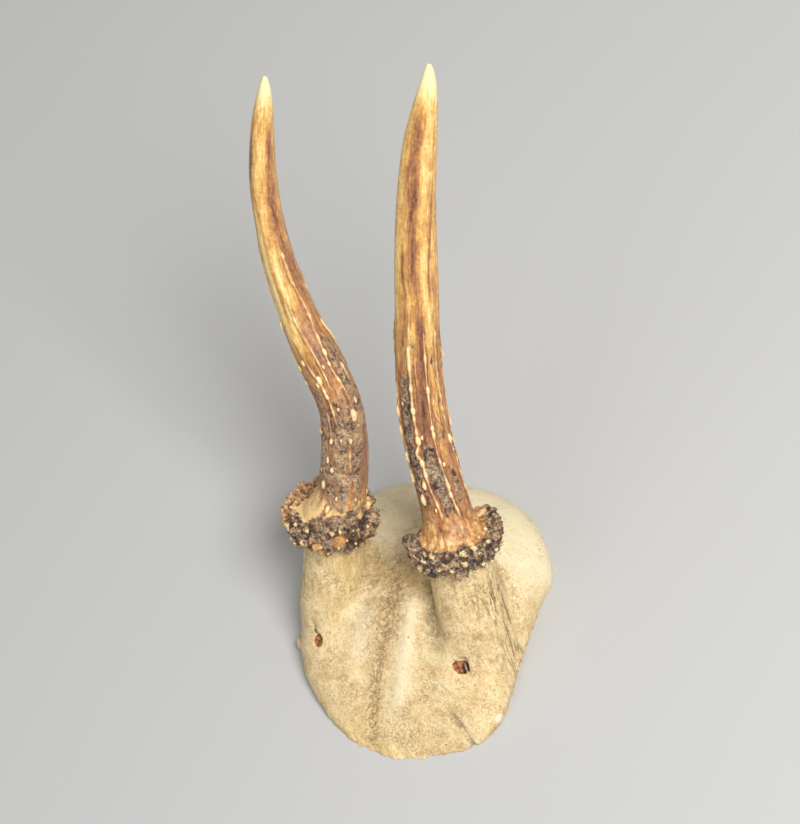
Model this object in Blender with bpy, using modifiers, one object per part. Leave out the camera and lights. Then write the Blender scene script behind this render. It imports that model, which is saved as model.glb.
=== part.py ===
"""Sawn skull cap of a young roe buck with its two spike antlers.

The cap lies on its sawn underside in the plane z = 0. The forehead points to -Y, the braincase
to +Y and the buck's left side to +X. Forms are described from the front end of the midline on
the cut, and every object is placed so that the world's origin is SCREW_SPOT, on the solid bar
of bone between the hollows. Lengths are in metres, and MM turns millimetres into metres.
"""

import math
import random

import bmesh
import bpy
import numpy as np
from mathutils import Matrix, Vector

MM = 0.001
GAP = 0.3 * MM
SCREW_SPOT = Vector((0, 23.5, 0)) * MM

# Cap: the outline of the saw cut in millimetres, counterclockwise from above, and the heights
# of the bone over it. The forehead rises from the front edge to the level roof.
RIM_MM = (
    (0, -2.2),
    (11, -0.4),
    (20.6, 3),
    (26.8, 7.2),
    (30.2, 14.4),
    (30.8, 23),
    (30.4, 31),
    (31.4, 39),
    (31.2, 45),
    (32.7, 48.2),
    (31.9, 54.6),
    (28, 61.6),
    (21.6, 67.6),
    (11.4, 72),
    (0, 72.8),
    (-11.4, 72),
    (-20.6, 67.8),
    (-27.6, 61.6),
    (-31.8, 54),
    (-32.2, 45),
    (-30.4, 34),
    (-30, 25),
    (-26.8, 16.8),
    (-20.5, 9.8),
    (-10.6, 2),
)
RIM_STEPS = 6
RIM_CENTRE = Vector((0, 35 * MM))
FOREHEAD_START = -1.6 * MM
FOREHEAD_SLOPE = math.radians(26)
ROOF_HEIGHT = 16 * MM
ROOF_BLEND = 1.6 * MM
# How late the bone turns down to the rim: a large number gives a steep edge, 2 a round one
FRONT_EDGE, SIDE_EDGE, REAR_EDGE = 14, 5, 2.5
CAP_SEGMENTS, CAP_RINGS = 90, 44
SKIRT = 6 * MM
SAW_BLOCK = Vector((100, 100, 20)) * MM

# Hollows under the cap: centre and radii of the braincase and of one frontal sinus
BRAINCASE = (Vector((0, 48.5, -2)) * MM, Vector((26.5, 20.5, 13.6)) * MM)
SINUS = (Vector((8.6, 13.2, -1.4)) * MM, Vector((6.2, 7, 4.8)) * MM)
FORAMEN = (Vector((19.9, 22.5, 12.4)) * MM, Vector((1.7, 2.3, 2.2)) * MM)

# Pedicles: the axis runs from the roof to the middle of the burr, and radii are given at
# shares of the whole length from inside the cap to the burr.
PEDICLE_FOOT = Vector((18.7, 37, 14.5)) * MM
BURR_CENTRE = Vector((16.8, 48.3, 30.7)) * MM
PEDICLE_ROOT = 13 * MM
PEDICLE_RADII_MM = ((0, 9.4), (0.25, 9.6), (0.45, 9.4), (0.65, 8.9), (0.85, 8.8), (1, 9.2))
PEDICLE_STEPS, PEDICLE_SIDES = 3, 32
SEAM_DROP = 2.6 * MM
SEAM_SLAB = Vector((46, 46, 24)) * MM

# Antlers: both lean back at one angle with a slight bow. A course gives, in millimetres, the
# height over the burr, the distance from the midline and half the breadth of the beam. The
# depth is the other measure across a beam, as a share of its breadth.
LEAN = math.radians(54)
BOW = 4 * MM
BOW_SPAN = 100 * MM
BROAD_WAY = Vector((0.90, 0.28, -0.34))
LEFT_COURSE_MM = (
    (-2, 17.0, 8.6),
    (1, 16.4, 8.0),
    (4, 15.6, 6.7),
    (7, 14.9, 6.1),
    (12, 13.6, 5.9),
    (18, 12.1, 5.8),
    (25, 11.2, 5.7),
    (33, 11.1, 5.5),
    (42, 11.8, 5.3),
    (52, 13.0, 5.2),
    (62, 14.3, 4.9),
    (72, 16.1, 4.5),
    (82, 18.6, 4.0),
    (89, 20.9, 3.2),
    (95, 22.9, 2.2),
    (99, 24.0, 1.3),
    (101.2, 24.4, 0.5),
)
RIGHT_COURSE_MM = (
    (-2, 16.6, 8.8),
    (1, 15.4, 8.2),
    (4, 14.0, 6.9),
    (7, 12.8, 6.2),
    (12, 11.7, 6.0),
    (18, 11.0, 5.8),
    (25, 11.4, 5.3),
    (33, 15.1, 5.3),
    (42, 19.5, 4.6),
    (52, 22.6, 3.9),
    (62, 24.0, 3.5),
    (72, 23.8, 3.3),
    (82, 21.9, 2.8),
    (88, 20.2, 2.2),
    (92.5, 18.9, 1.4),
    (95, 18.2, 0.5),
)
LEFT_DEPTH, RIGHT_DEPTH = 0.85, 1.15
SHAFT_SIDES, SHAFT_STEPS = 30, 5

# Crests run up the beam, swaying around it, and fade toward the tip and where it is thin
CRESTS = 9
CREST_HEIGHT = 0.9 * MM
CREST_FADE = 0.7
CREST_BREADTH = 4 * MM
CREST_TURN = 0.6
CREST_SWAY, CREST_SWAY_RATE = 2.5, 3

# Pearls are set at random on the lower beam, crowded toward the burr
PEARLS = 60
PEARLY_SHARE = 0.6
PEARL_CROWDING = 1.6
PEARL_RADII_MM = (0.7, 1.25)
PEARL_STRETCH = 1.3
SEED = 7

# Burrs: a thick collar set with rings of lumps, each ring given by its height over the middle
# of the burr and its radius. A lobe is one lump more: its place around the burr in degrees,
# from the buck's left by way of the rear, its height, its distance out and its radius.
COLLAR_RADII = Vector((10.4, 10.4, 5.2)) * MM
BURR_RINGS_MM = ((-1.3, 10), (0.9, 10.4), (2.9, 8.9))
RING_LUMPS = 18
LUMP_RADII_MM = (1.4, 2.2)
LUMP_TURN, LUMP_LIFT_MM, LUMP_OUT_MM = 0.25, 0.4, (-0.5, 0.6)
LEFT_LOBES_MM = (
    (66, 4.2, 9.6, 2.3),
    (40, 3.2, 10.4, 2.2),
    (14, 2.2, 10.8, 2.2),
    (172, 3, 10, 2.5),
    (200, 1.4, 10.4, 2.4),
    (330, 0.4, 11, 2),
)
RIGHT_LOBES_MM = (
    (196, 1.4, 12, 1.6),
    (180, 2.4, 12, 1.6),
    (165, 3.2, 11.8, 1.5),
    (150, 3.8, 11.4, 1.5),
    (134, 4.4, 10.8, 1.5),
    (118, 4.8, 10, 1.4),
    (20, 2.4, 9.8, 2.6),
)

# How the overlapping forms of a piece melt into one skin: the size of the mesh, how often it
# is smoothed, and the triangles that it keeps
CAP_SKIN = (0.9 * MM, 22, 1900)
ANTLER_SKIN = (0.7 * MM, 1, 3500)
SMOOTHING_PULL = 0.5

BONE = ((0.72, 0.60, 0.40, 1), 0.55)
ANTLER_BROWN = ((0.26, 0.13, 0.06, 1), 0.5)


def clear_scene():
    for old in list(bpy.data.objects):
        bpy.data.objects.remove(old)


def make_collection(name):
    made = bpy.data.collections.new(name)
    bpy.context.scene.collection.children.link(made)
    return made


def make_material(name, colour, roughness):
    made = bpy.data.materials.new(name)
    made.use_nodes = True
    shader = made.node_tree.nodes["Principled BSDF"]
    shader.inputs["Base Color"].default_value = colour
    shader.inputs["Roughness"].default_value = roughness
    shader.inputs["Metallic"].default_value = 0
    return made


def object_from(bm, name, collection):
    bmesh.ops.recalc_face_normals(bm, faces=bm.faces)
    mesh = bpy.data.meshes.new(name)
    bm.to_mesh(mesh)
    bm.free()
    made = bpy.data.objects.new(name, mesh)
    made.location = -SCREW_SPOT
    collection.objects.link(made)
    return made


def make_cutter(bm, name, collection):
    made = object_from(bm, name, collection)
    made.hide_render = True
    made.display_type = "WIRE"
    return made


def cut(piece, cutter):
    boolean = piece.modifiers.new(cutter.name, "BOOLEAN")
    boolean.operation = "DIFFERENCE"
    boolean.object = cutter


def fuse(piece, voxel, smoothing, triangles):
    """Melts the overlapping bodies of a mesh into one skin of so many triangles."""
    remesh = piece.modifiers.new("fuse", "REMESH")
    remesh.mode = "VOXEL"
    remesh.voxel_size = voxel
    smooth = piece.modifiers.new("soften", "SMOOTH")
    smooth.factor = SMOOTHING_PULL
    smooth.iterations = smoothing
    found = piece.evaluated_get(bpy.context.evaluated_depsgraph_get()).to_mesh()
    fused = sum(len(face.vertices) - 2 for face in found.polygons)
    thin = piece.modifiers.new("thin", "DECIMATE")
    thin.ratio = triangles / fused


def bake_modifiers(piece):
    """Puts the evaluated mesh in place of the modifiers."""
    seen = piece.evaluated_get(bpy.context.evaluated_depsgraph_get())
    piece.data = bpy.data.meshes.new_from_object(seen)
    piece.modifiers.clear()


def smooth_course(points, steps, closed=False):
    """Catmull-Rom curve through points, with so many steps from one to the next."""
    points = np.array(points, float)
    if closed:
        padded = np.vstack((points[-1], points, points[:2]))
    else:
        padded = np.vstack((2 * points[0] - points[1], points, 2 * points[-1] - points[-2]))
    curve = []
    for a, b, c, d in zip(padded, padded[1:], padded[2:], padded[3:]):
        for step in range(steps):
            t = step / steps
            bend = (2 * a - 5 * b + 4 * c - d) * t**2 + (3 * b - a - 3 * c + d) * t**3
            curve.append(b + 0.5 * ((c - a) * t + bend))
    if not closed:
        curve.append(points[-1])
    return np.array(curve)


def add_loft(bm, rings):
    """Skins a row of rings with equal numbers of points, and caps both ends."""
    rows = [[bm.verts.new(point) for point in ring] for ring in rings]
    for low, high in zip(rows, rows[1:]):
        for k in range(len(low)):
            bm.faces.new((low[k - 1], low[k], high[k], high[k - 1]))
    bm.faces.new(rows[0][::-1])
    bm.faces.new(rows[-1])


def add_ball(bm, centre, radii, turn=Matrix(), fineness=2):
    """A ball or egg. Its faces are 20 at a fineness of 1, and four times as many at each step."""
    place = Matrix.Translation(centre) @ turn @ Matrix.Diagonal((*radii, 1))
    bmesh.ops.create_icosphere(bm, subdivisions=fineness, radius=1, matrix=place)


def across(axis, way):
    """Unit vectors at right angles to the axis: the part of way that is, and the third."""
    first = (way - axis * way.dot(axis)).normalized()
    return first, axis.cross(first)


def rim_reach():
    """A function from the angle about the rim's centre to the rim's distance from it."""
    outline = smooth_course(RIM_MM, RIM_STEPS, closed=True) * MM - np.array(RIM_CENTRE)
    angles = np.arctan2(outline[:, 1], outline[:, 0])
    reaches = np.hypot(outline[:, 0], outline[:, 1])
    return lambda angle: float(np.interp(angle, angles, reaches, period=2 * math.pi))


def roof(share, angle, y):
    """Height of the outer bone, at a share of the way from the rim's centre to the rim."""
    forehead = (y - FOREHEAD_START) * math.tan(FOREHEAD_SLOPE)
    level = -ROOF_BLEND * math.log(
        math.exp(-forehead / ROOF_BLEND) + math.exp(-ROOF_HEIGHT / ROOF_BLEND)
    )
    rearward = math.sin(angle)
    edge = math.exp(
        math.log(SIDE_EDGE)
        + math.log(REAR_EDGE / FRONT_EDGE) / 2 * rearward
        + math.log(REAR_EDGE * FRONT_EDGE / SIDE_EDGE**2) / 2 * rearward**2
    )
    return max(level, 0) * math.sqrt(max(0, 1 - share**edge))


def add_cap_form(bm):
    """A ball pressed into the outline of the cut, with the roof above and a skirt below."""
    reach = rim_reach()
    ball = bmesh.ops.create_uvsphere(bm, u_segments=CAP_SEGMENTS, v_segments=CAP_RINGS, radius=1)
    for vert in ball["verts"]:
        share = min(1, math.hypot(vert.co.x, vert.co.y))
        angle = math.atan2(vert.co.y, vert.co.x)
        x = RIM_CENTRE.x + share * reach(angle) * math.cos(angle)
        y = RIM_CENTRE.y + share * reach(angle) * math.sin(angle)
        z = roof(share, angle, y) if vert.co.z > 0 else vert.co.z * SKIRT
        vert.co = (x, y, z)


def mirrored(point, side):
    return Vector((point.x * side, point.y, point.z))


def pedicle_axis(side):
    return mirrored(BURR_CENTRE - PEDICLE_FOOT, side).normalized()


def add_pedicle(bm, side):
    axis = pedicle_axis(side)
    first, second = across(axis, Vector((1, 0, 0)))
    root = mirrored(PEDICLE_FOOT, side) - axis * PEDICLE_ROOT
    length = (mirrored(BURR_CENTRE, side) - root).length
    turns = [k * math.tau / PEDICLE_SIDES for k in range(PEDICLE_SIDES)]
    ways = [first * math.cos(a) + second * math.sin(a) for a in turns]
    rings = []
    for share, radius in smooth_course(PEDICLE_RADII_MM, PEDICLE_STEPS):
        centre = root + axis * length * share
        rings.append([centre + way * radius * MM for way in ways])
    add_loft(bm, rings)


def seam_box(side, offset, above):
    """A slab whose one face is the seam under the burr, moved along the pedicle by offset."""
    axis = pedicle_axis(side)
    half = SEAM_SLAB.z / 2
    shift = offset - SEAM_DROP + (half if above else -half)
    place = Matrix.Translation(mirrored(BURR_CENTRE, side) + axis * shift)
    turn = axis.to_track_quat("Z", "Y").to_matrix().to_4x4()
    bm = bmesh.new()
    bmesh.ops.create_cube(bm, size=1, matrix=place @ turn @ Matrix.Diagonal((*SEAM_SLAB, 1)))
    return bm


def build_cap(parts, cutters, bone):
    bm = bmesh.new()
    add_cap_form(bm)
    for side in (1, -1):
        add_pedicle(bm, side)
    cap = object_from(bm, "skull_cap", parts)
    fuse(cap, *CAP_SKIN)
    bake_modifiers(cap)

    bm = bmesh.new()
    place = Matrix.Translation((0, RIM_CENTRE.y, -SAW_BLOCK.z / 2))
    bmesh.ops.create_cube(bm, size=1, matrix=place @ Matrix.Diagonal((*SAW_BLOCK, 1)))
    cut(cap, make_cutter(bm, "saw_cut", cutters))
    for side, word in ((1, "left"), (-1, "right")):
        slab = seam_box(side, -GAP / 2, above=True)
        cut(cap, make_cutter(slab, f"{word}_seam_above", cutters))
    bm = bmesh.new()
    add_ball(bm, *BRAINCASE, fineness=3)
    cut(cap, make_cutter(bm, "braincase", cutters))
    for side, word in ((1, "left"), (-1, "right")):
        for name, (centre, radii) in (("sinus", SINUS), ("foramen", FORAMEN)):
            bm = bmesh.new()
            add_ball(bm, mirrored(centre, side), radii)
            cut(cap, make_cutter(bm, f"{word}_{name}", cutters))
    cap.data.materials.append(bone)
    return cap


def antler_frames(course_mm, side):
    """Centre, across, third axis and half breadth along the beam, from burr to tip."""
    rows = smooth_course(course_mm, SHAFT_STEPS) * MM
    centres = []
    for height, aside, _ in rows:
        share = height / BOW_SPAN
        bow = BOW * 4 * share * (1 - share)
        y = BURR_CENTRE.y + height / math.tan(LEAN) + bow
        centres.append(Vector((aside * side, y, BURR_CENTRE.z + height)))
    frames = []
    for k, centre in enumerate(centres):
        ahead = centres[min(k + 1, len(centres) - 1)] - centres[max(k - 1, 0)]
        frames.append((centre, *across(ahead.normalized(), BROAD_WAY), rows[k][2]))
    return frames


def add_beam(bm, frames, depth_share, crest_turn):
    rings = []
    for k, (centre, wide, deep, half) in enumerate(frames):
        along = k / (len(frames) - 1)
        crest = CREST_HEIGHT * (1 - along) ** CREST_FADE * min(1, half / CREST_BREADTH)
        sway = crest_turn + CREST_SWAY * math.sin(CREST_SWAY_RATE * along)
        ring = []
        for step in range(SHAFT_SIDES):
            a = step * math.tau / SHAFT_SIDES
            r = half + crest * math.cos(CRESTS * a + sway)
            ring.append(centre + wide * r * math.cos(a) + deep * r * depth_share * math.sin(a))
        rings.append(ring)
    add_loft(bm, rings)


def add_pearls(bm, frames, depth_share, rng):
    for _ in range(PEARLS):
        along = rng.random() ** PEARL_CROWDING * PEARLY_SHARE
        centre, wide, deep, half = frames[int(along * (len(frames) - 1))]
        a = rng.uniform(0, math.tau)
        radius = rng.uniform(*PEARL_RADII_MM) * MM
        spot = centre + wide * half * math.cos(a) + deep * half * depth_share * math.sin(a)
        add_ball(bm, spot, (radius, radius, radius * PEARL_STRETCH))


def add_burr(bm, side, lobes_mm, rng):
    axis = pedicle_axis(side)
    first, second = across(axis, Vector((1, 0, 0)))
    turn = axis.to_track_quat("Z", "Y").to_matrix().to_4x4()
    centre = mirrored(BURR_CENTRE, side)
    add_ball(bm, centre, COLLAR_RADII, turn, fineness=3)
    lumps = []
    for row, (lift, reach) in enumerate(BURR_RINGS_MM):
        for k in range(RING_LUMPS):
            a = (k + 0.5 * row + rng.uniform(-LUMP_TURN, LUMP_TURN)) * math.tau / RING_LUMPS
            size = rng.uniform(*LUMP_RADII_MM)
            raised = lift + rng.uniform(-LUMP_LIFT_MM, LUMP_LIFT_MM)
            lumps.append((a, raised, reach + rng.uniform(*LUMP_OUT_MM), size))
    lumps += [(math.radians(degrees), *lobe) for degrees, *lobe in lobes_mm]
    for a, lift, reach, size in lumps:
        out = first * math.cos(a) + second * math.sin(a)
        add_ball(bm, centre + (out * reach + axis * lift) * MM, Vector((size, size, size)) * MM)


def build_antler(name, side, course_mm, lobes_mm, depth_share, parts, cutters, horn):
    rng = random.Random(SEED + side)
    frames = antler_frames(course_mm, side)
    bm = bmesh.new()
    add_beam(bm, frames, depth_share, CREST_TURN * side)
    add_pearls(bm, frames, depth_share, rng)
    add_burr(bm, side, lobes_mm, rng)
    antler = object_from(bm, name, parts)
    fuse(antler, *ANTLER_SKIN)
    bake_modifiers(antler)
    slab = seam_box(side, GAP / 2, above=False)
    cut(antler, make_cutter(slab, f"{name}_seam_below", cutters))
    antler.data.materials.append(horn)
    return antler


def main():
    clear_scene()
    parts = make_collection("deer skull cap mount")
    cutters = make_collection("cutters")
    bone = make_material("bone", *BONE)
    horn = make_material("antler", *ANTLER_BROWN)
    left = (LEFT_COURSE_MM, LEFT_LOBES_MM, LEFT_DEPTH)
    right = (RIGHT_COURSE_MM, RIGHT_LOBES_MM, RIGHT_DEPTH)
    pieces = [
        build_cap(parts, cutters, bone),
        build_antler("left_antler", 1, *left, parts, cutters, horn),
        build_antler("right_antler", -1, *right, parts, cutters, horn),
    ]
    for piece in pieces:
        for face in piece.data.polygons:
            face.use_smooth = True


main()
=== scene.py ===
"""Visual model of the sawn skull cap of a young roe buck with its two spike antlers.

The forms are worked out in millimetres from the front end of the midline on the cut: +X is the
buck's left, +Y the back of the head and +Z up from the cut. finished() turns them into metres and
moves them to the frame, whose zero is FRAME_ZERO. Left and right are the buck's own.
"""

import math
import random

import bmesh
import bpy
import numpy as np
from mathutils import Matrix, Vector, kdtree, noise


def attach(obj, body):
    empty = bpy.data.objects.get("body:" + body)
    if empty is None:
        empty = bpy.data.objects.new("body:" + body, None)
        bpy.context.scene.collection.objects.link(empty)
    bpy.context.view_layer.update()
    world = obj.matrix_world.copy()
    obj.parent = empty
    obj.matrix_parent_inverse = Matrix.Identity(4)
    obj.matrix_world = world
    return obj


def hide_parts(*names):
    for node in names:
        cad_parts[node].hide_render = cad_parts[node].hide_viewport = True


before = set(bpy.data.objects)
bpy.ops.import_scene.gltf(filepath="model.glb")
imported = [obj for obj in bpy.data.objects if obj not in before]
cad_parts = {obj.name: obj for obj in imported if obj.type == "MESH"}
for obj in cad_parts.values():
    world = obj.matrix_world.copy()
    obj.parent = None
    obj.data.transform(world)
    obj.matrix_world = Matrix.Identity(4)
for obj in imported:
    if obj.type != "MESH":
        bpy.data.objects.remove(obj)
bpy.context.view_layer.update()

MM = 0.001
FRAME_ZERO = np.array((0, 23.5, 0))

# Camera: its place in the frame, its direction and its focal length in mm on the long side
CAMERA_SPOT = Vector((0.2903, -0.1795, 0.6196))
CAMERA_AZIMUTH = math.radians(51.73)
CAMERA_ELEVATION = math.radians(57.21)
CAMERA_ROLL = math.radians(-38.92)
CAMERA_LENS = 122.33

# Cap: the outline of the cut, counterclockwise from above, and the heights of the bone over it
RIM = (
    (0, -2.2), (11, -0.4), (20.6, 3), (26.8, 7.2), (30.2, 14.4), (30.8, 23), (30.4, 31),
    (31.4, 39), (31.2, 45), (32.7, 48.2), (31.9, 54.6), (28, 61.6), (21.6, 67.6), (11.4, 72),
    (0, 72.8), (-11.4, 72), (-20.6, 67.8), (-27.6, 61.6), (-31.8, 54), (-32.2, 45), (-29.7, 34),
    (-29.1, 25), (-26.3, 16.8), (-20.5, 9.8), (-10.6, 2),
)
RIM_CENTRE = np.array((0, 35))
FOREHEAD_START = -1.6
FOREHEAD_SLOPE = math.radians(26)
ROOF_HEIGHT = 16
ROOF_BLEND = 1.6
FRONT_EDGE, SIDE_EDGE, REAR_EDGE = 14, 5, 2.5
SKIRT = 6
BRAINCASE = ((0, 48.5, -2), (26.5, 20.5, 13.6))
SINUS = ((8.6, 13.2, -1.4), (6.2, 7, 4.8))
LEFT_FORAMEN, RIGHT_FORAMEN = (19.5, 22.4), (-20.1, 22.6)
MIDLINE = (
    (-1, -3), (-2.1, 2.6), (-2.6, 11.6), (-2, 23), (-1.4, 34), (-2, 40), (-5, 49), (-1.5, 59),
    (0, 74),
)
# Marks on the bone: the temple ridge as (z, y), the swelling and the groove as (y, x), the
# notch as (x, y), and single spots
TEMPLE_RIDGE = ((0, 30.5), (4.8, 32.1), (8.5, 34.3), (13, 37.7), (18.6, 41.1), (23.3, 43.9))
SWELLING = ((8, 3.6), (14, 4.2), (22, 4.6), (31, 4.2), (38, 3))
NOTCH = ((17, 12), (21, 9.5), (25, 5.6), (27, 4))
GROOVE = ((22.5, -20.0), (26.5, -22.2))
SLITS, SLIT_WAY = (20.4, 22.4), (0.555, -0.832)
KNOB, CHIP = (-28.8, 23.6, 3), (29.5, 13.8, 2.2)
# The shine is a painted highlight: a glinting streak along the notch's edge
SHINE_START, SHINE_RUN = (22.8, 8.9, 4), (2.4, -2, -2.6)
# How far each mark raises the bone, and how much it darkens it: painted shade in the creases,
# valleys, grooves and notch and along the line behind the temple ridge, with some dirt
CAP_RELIEF = {
    "band": 0.55, "suture_band": -0.25, "medial": -0.9, "left_foramen": -0.9,
    "right_foramen": -0.8, "shaded_slits": -1.1, "vessel": -0.45, "ridge": 0.35, "fossa": -1.0,
    "edge": -0.35, "wrinkles": 0.45, "knob": 1.2, "notch": -0.8,
}
CAP_DIRT_AND_SHADE = {
    "crease": 0.12, "notch": 0.9, "vessel": 0.4, "fossa": 0.25, "edge": 1, "rugose": 0.1,
    "crack": 0.7, "low_wrinkles": 0.5,
}

# Pedicles, each parted from its burr by a gap at the seam
GAP = 0.3
PEDICLE_FOOT = np.array((18.7, 37, 14.5))
BURR_CENTRE = np.array((16.8, 48.3, 30.7))
PEDICLE_ROOT = 13
# For the left (1) and the right (-1): the breadth, and how far it lies to the buck's left
PEDICLE_BUILDS = {1: (0.98, 0.5), -1: (0.91, 0.1)}
PEDICLE_RADII = ((0, 9.4), (0.25, 9.6), (0.45, 9.2), (0.65, 8.5), (0.85, 8.3), (1, 8.6))
SEAM_DROP = 2.6

# Antlers: how they lean, bow and turn their broad way
LEAN = math.radians(54)
BOW, BOW_SPAN = 4, 100
BROAD_WAY = np.array((0.90, 0.28, -0.34))

# The two antlers' designs: how deep the beam is against its breadth, how pale its crust is, and
# which degrees around it are left to random crests and pearls
LEFT, RIGHT = {}, {}
LEFT["depth"], RIGHT["depth"] = 0.85, 1.15
LEFT["crust_tint"], RIGHT["crust_tint"] = -0.035, 0.01
LEFT["bare"], RIGHT["bare"] = (35, 180), (25, 172)

# Courses: height over the burr, distance from the midline and half the breadth of the beam
LEFT["course"] = (
    (-2, 17.0, 8.6), (1, 16.4, 8.0), (4, 15.6, 6.7), (7, 14.9, 6.1), (12, 13.6, 5.9),
    (18, 12.1, 5.8), (25, 11.2, 5.7), (33, 11.1, 5.5), (42, 11.8, 5.3), (52, 13.0, 5.2),
    (62, 14.3, 4.9), (72, 16.1, 4.5), (82, 18.6, 4.0), (89, 20.9, 3.2), (95, 22.9, 2.2),
    (98.8, 24.0, 1.3), (100.8, 24.4, 0.5),
)
RIGHT["course"] = (
    (-2, 16.6, 8.8), (1, 15.4, 8.2), (4, 14.0, 6.9), (7, 12.8, 6.2), (12, 11.7, 6.0),
    (18, 11.0, 5.8), (25, 11.4, 5.3), (33, 15.1, 5.3), (42, 19.5, 4.6), (52, 22.6, 3.9),
    (62, 24.0, 3.5), (72, 23.8, 3.3), (82, 21.9, 2.8), (88, 20.2, 2.2), (92.5, 18.9, 1.4),
    (95, 18.2, 0.5),
)

# Crests: height of the crest, half its width, and its course as heights over the burr and
# degrees around the beam, from the buck's left by way of the rear
LEFT["crests"] = (
    (0.8, 0.6, ((40, 203), (34, 199), (26, 195), (21, 197), (18, 200), (14, 197), (11, 202))),
    (0.8, 0.5, ((50, 243), (35, 248), (27, 248), (21, 249), (18.5, 239), (17, 247), (12, 249),
                (8, 257), (4, 264))),
    (0.7, 0.42, ((48, 284), (31, 289), (21, 288), (14, 291), (9, 294), (3, 306))),
    (0.8, 0.46, ((50, 313), (35, 320), (27, 325), (21, 332), (16, 344), (13, 341), (8, 350),
                 (5, 356))),
    (0.45, 0.3, ((36, 302), (30, 302), (27, 299), (24, 312), (20, 318))),
    (0.8, 0.5, ((46, 348), (33, 356), (22, 2), (18, 8), (10, 16))),
    (0.3, 0.25, ((44, 262), (36, 262), (31, 266))),
)
RIGHT["crests"] = (
    (0.6, 0.4, ((62, 292), (51, 300), (44, 310), (37, 300), (32, 296), (27, 306), (24, 308))),
    (0.55, 0.36, ((62, 340), (48, 348), (40, 345), (36, 2), (30, 8))),
    (0.55, 0.36, ((42, 314), (34, 328), (29, 332), (26, 341), (24, 350))),
    (0.55, 0.4, ((50, 256), (37, 269), (32, 272), (28, 268))),
    (0.75, 0.5, ((42, 222), (33, 244), (30, 252), (25, 254), (21, 258))),
    (0.5, 0.34, ((30, 233), (24, 235), (18, 243))),
    (0.55, 0.36, ((29, 270), (22, 276))),
    (0.5, 0.6, ((22, 293), (17, 284), (12, 285))),
    (0.7, 0.5, ((62, 194), (45, 190), (36, 186), (28, 192), (18, 196))),
)

# Pearls on the beam: height, degrees and radius
LEFT["pearls"] = (
    (26.5, 194, 1.0), (22.6, 195, 0.9), (17.6, 199, 0.9), (13.6, 198, 0.9), (27.4, 248, 0.7),
    (21.2, 249, 0.8), (16.6, 247, 0.7), (14.4, 248, 0.6), (23.4, 288, 0.5), (20, 333, 0.8),
    (12.2, 236, 0.7), (9.4, 223, 0.9), (22.5, 3, 0.8), (18.5, 8, 0.8), (9.6, 293, 0.5),
)
RIGHT["pearls"] = (
    (23.5, 306, 0.85), (35.4, 299, 0.55), (33.2, 296, 0.4), (31.2, 253, 0.7), (28, 252, 0.5),
    (35, 228, 0.5), (30.4, 242, 0.45), (14.8, 227, 0.5), (9.1, 217, 0.75), (4.9, 240, 0.55),
    (19, 238, 0.5), (25.4, 326, 0.4), (19.1, 288, 0.45), (42.2, 193, 0.7), (34, 200, 0.6),
    (31, 197, 0.5), (13, 240, 0.5),
)

# Streaks: how much paler (or darker, below zero), half the width, and the course as above
LEFT["streaks"] = (
    (-0.3, 1.6, ((93, 252), (88, 250), (82, 254), (77, 258), (70, 262))),
    (-0.3, 1.0, ((74, 259), (68, 258), (57, 262), (50, 271), (44, 278), (34, 281))),
    (-0.34, 0.35, ((90, 318), (85, 320), (80, 321))),
    (-0.3, 0.4, ((76, 321), (66, 314), (57, 304), (50, 306))),
    (-0.3, 0.45, ((64, 231), (55, 232), (52, 240), (45, 236), (40, 226))),
    (-0.2, 0.6, ((48, 320), (38, 327), (30, 335))),
    (0.12, 1.2, ((92, 196), (70, 203), (50, 205), (34, 206))),
    (0.12, 1.1, ((92, 292), (80, 296), (64, 292), (48, 296), (36, 300))),
    (0.2, 0.5, ((54, 245), (44, 246), (34, 249))),
    (0.2, 0.4, ((52, 314), (44, 318), (34, 322))),
    (-0.16, 2.2, ((38, 266), (30, 268), (20, 270), (12, 274))),
    (0.08, 1.2, ((36, 305), (24, 306), (14, 310))),
)
RIGHT["streaks"] = (
    (0.2, 1.6, ((86, 262), (76, 260), (68, 250), (58, 234), (50, 228), (44, 218), (36, 222))),
    (0.16, 0.7, ((60, 268), (50, 262), (42, 250), (34, 240))),
    (-0.26, 1.0, ((86, 304), (76, 300), (66, 298), (58, 312), (50, 330))),
    (-0.3, 0.4, ((86, 216), (78, 212), (70, 210))),
    (-0.26, 0.45, ((70, 226), (62, 240), (54, 236), (48, 246), (42, 244))),
    (-0.2, 1.8, ((58, 318), (48, 322), (38, 316), (30, 316))),
    (-0.16, 1.3, ((46, 282), (38, 284), (30, 284))),
    (-0.16, 1.4, ((66, 352), (50, 0), (40, 10))),
    (-0.1, 2.0, ((26, 335), (16, 330), (8, 330))),
)

# Tones: how pale the beam is at heights over the burr
LEFT["tones"] = (
    (0, 0.54), (4, 0.44), (8, 0.4), (14, 0.46), (24, 0.47), (34, 0.52), (42, 0.6), (60, 0.66),
    (84, 0.68), (92, 0.76), (97, 1),
)
RIGHT["tones"] = (
    (0, 0.84), (4, 0.66), (8, 0.5), (14, 0.46), (24, 0.44), (34, 0.54), (42, 0.68), (60, 0.64),
    (80, 0.57), (87, 0.7), (92, 1),
)

# Crust: strips of grey and black crust between the crests, as half the width and the course
LEFT["crusts"] = (
    (1.9, ((35, 225), (30, 224), (22, 218), (10, 214))),
    (1.5, ((20, 268), (14, 270), (9, 276))),
    (0.8, ((14, 318), (9, 322))),
    (1.5, ((46, 4), (36, 8), (26, 14))),
    (2.2, ((30, 24), (12, 34))),
    (2.2, ((40, 92), (24, 96), (10, 92))),
)
RIGHT["crusts"] = (
    (3.4, ((27, 262), (18, 254), (9, 250), (5, 250))),
    (1.8, ((26, 300), (17, 300), (10.5, 296))),
    (2, ((12, 206), (4, 206))),
    (2.2, ((38, 338), (31, 325), (25, 322), (20, 330))),
    (1.8, ((30, 215), (20, 212), (9, 216))),
    (2.2, ((34, 70), (22, 76), (10, 80))),
)

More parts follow.
